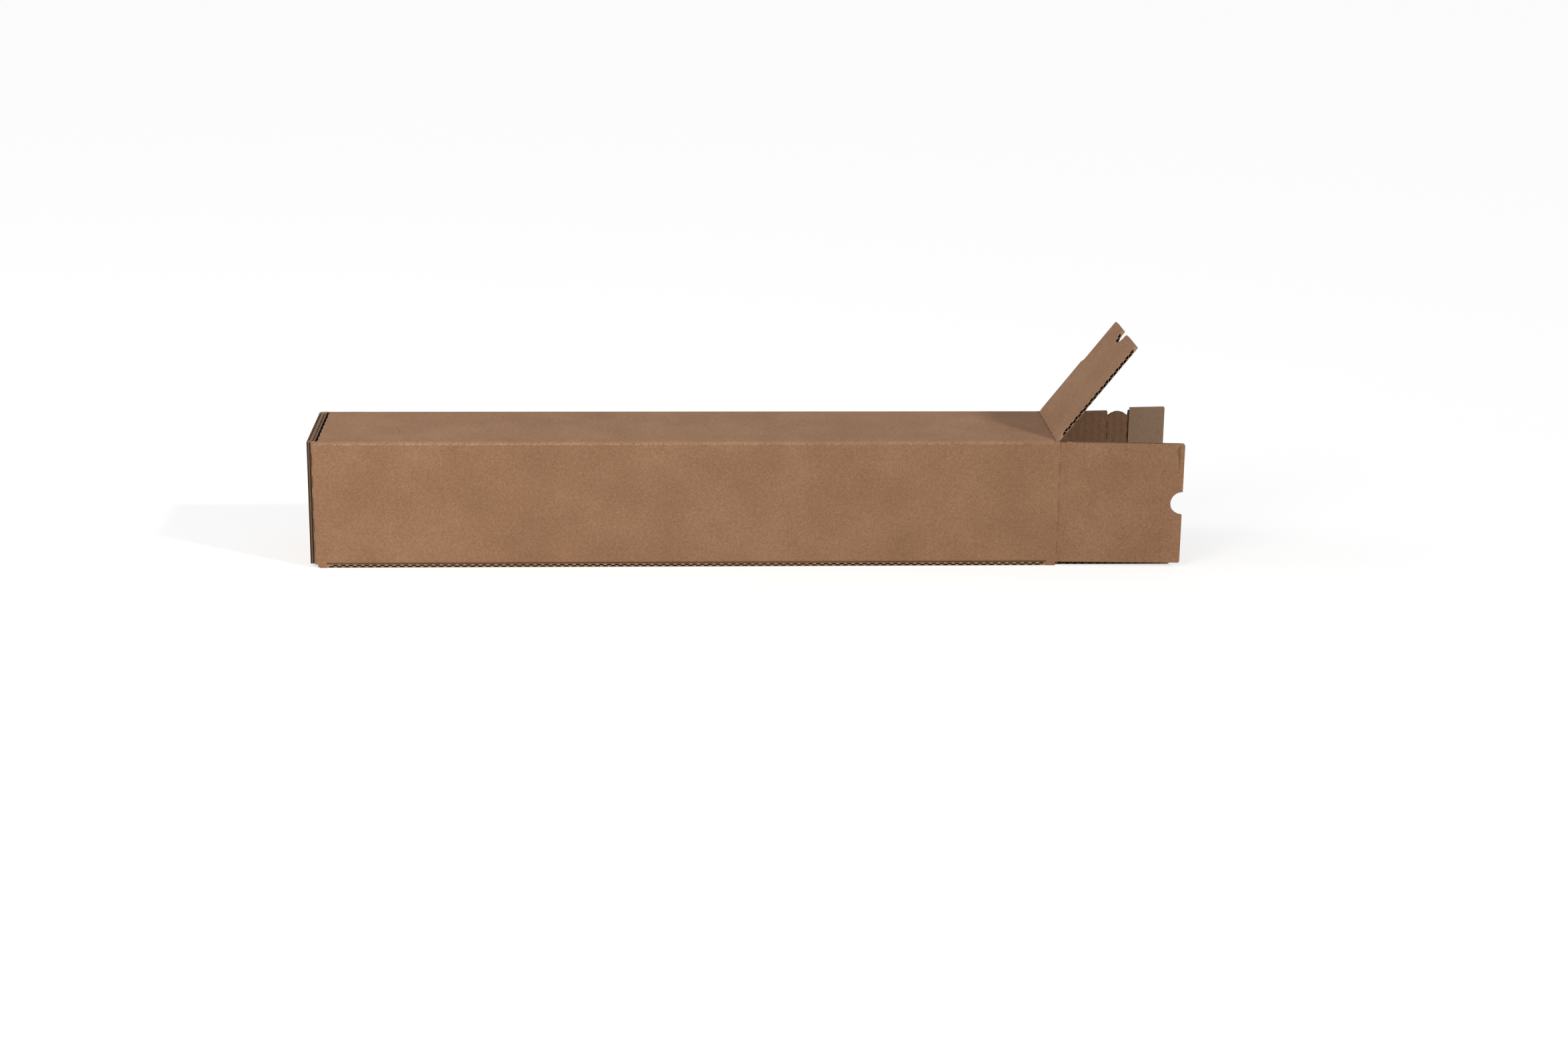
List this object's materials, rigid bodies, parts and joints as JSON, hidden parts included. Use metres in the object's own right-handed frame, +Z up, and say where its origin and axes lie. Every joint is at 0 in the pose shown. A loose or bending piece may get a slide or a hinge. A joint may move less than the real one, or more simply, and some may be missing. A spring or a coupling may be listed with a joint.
{
  "type": "long corrugated shipping box",
  "caption": "Long square box folded from corrugated board, glued shut at one end, with hinged end flaps and a peel-off closing strip at the other.",
  "frame": {"origin": "middle of the body's underside", "axes": "+X along the box to its open end, +Y from the front panel to the back panel, +Z up"},
  "size_m": [0.7326, 0.1219, 0.1887],
  "materials": {
    "kraft_board": "matt brown kraft liner",
    "adhesive": "thin film of hot-melt adhesive",
    "release_paper": "smooth coated kraft paper"
  },
  "bodies": {
    "carton": {"carton_body": "kraft_board"},
    "top_flap_body": {"top_flap": "kraft_board"},
    "bottom_flap_body": {"bottom_flap": "kraft_board"},
    "front_flap_body": {"front_flap": "kraft_board"},
    "back_flap_body": {"back_flap": "kraft_board", "adhesive_strip": "adhesive", "release_liner": "release_paper"}
  },
  "joints": [
    {"name": "top_flap_hinge", "type": "hinge", "parent": "carton", "child": "top_flap_body", "pos_m": [0.3072, 0, 0.1065], "axis": [0, 1, 0], "range_deg": [-46, 142]},
    {"name": "bottom_flap_hinge", "type": "hinge", "parent": "carton", "child": "bottom_flap_body", "pos_m": [0.3039, 0, 0.0015], "axis": [0, -1, 0], "range_deg": [0, 90]},
    {"name": "front_flap_hinge", "type": "hinge", "parent": "carton", "child": "front_flap_body", "pos_m": [0.311, -0.0525, 0.054], "axis": [0, 0, 1], "range_deg": [-90, 92.7]},
    {"name": "back_flap_hinge", "type": "hinge", "parent": "carton", "child": "back_flap_body", "pos_m": [0.3152, 0.0525, 0.054], "axis": [0, 0, -1], "range_deg": [-88, 95]}
  ]
}
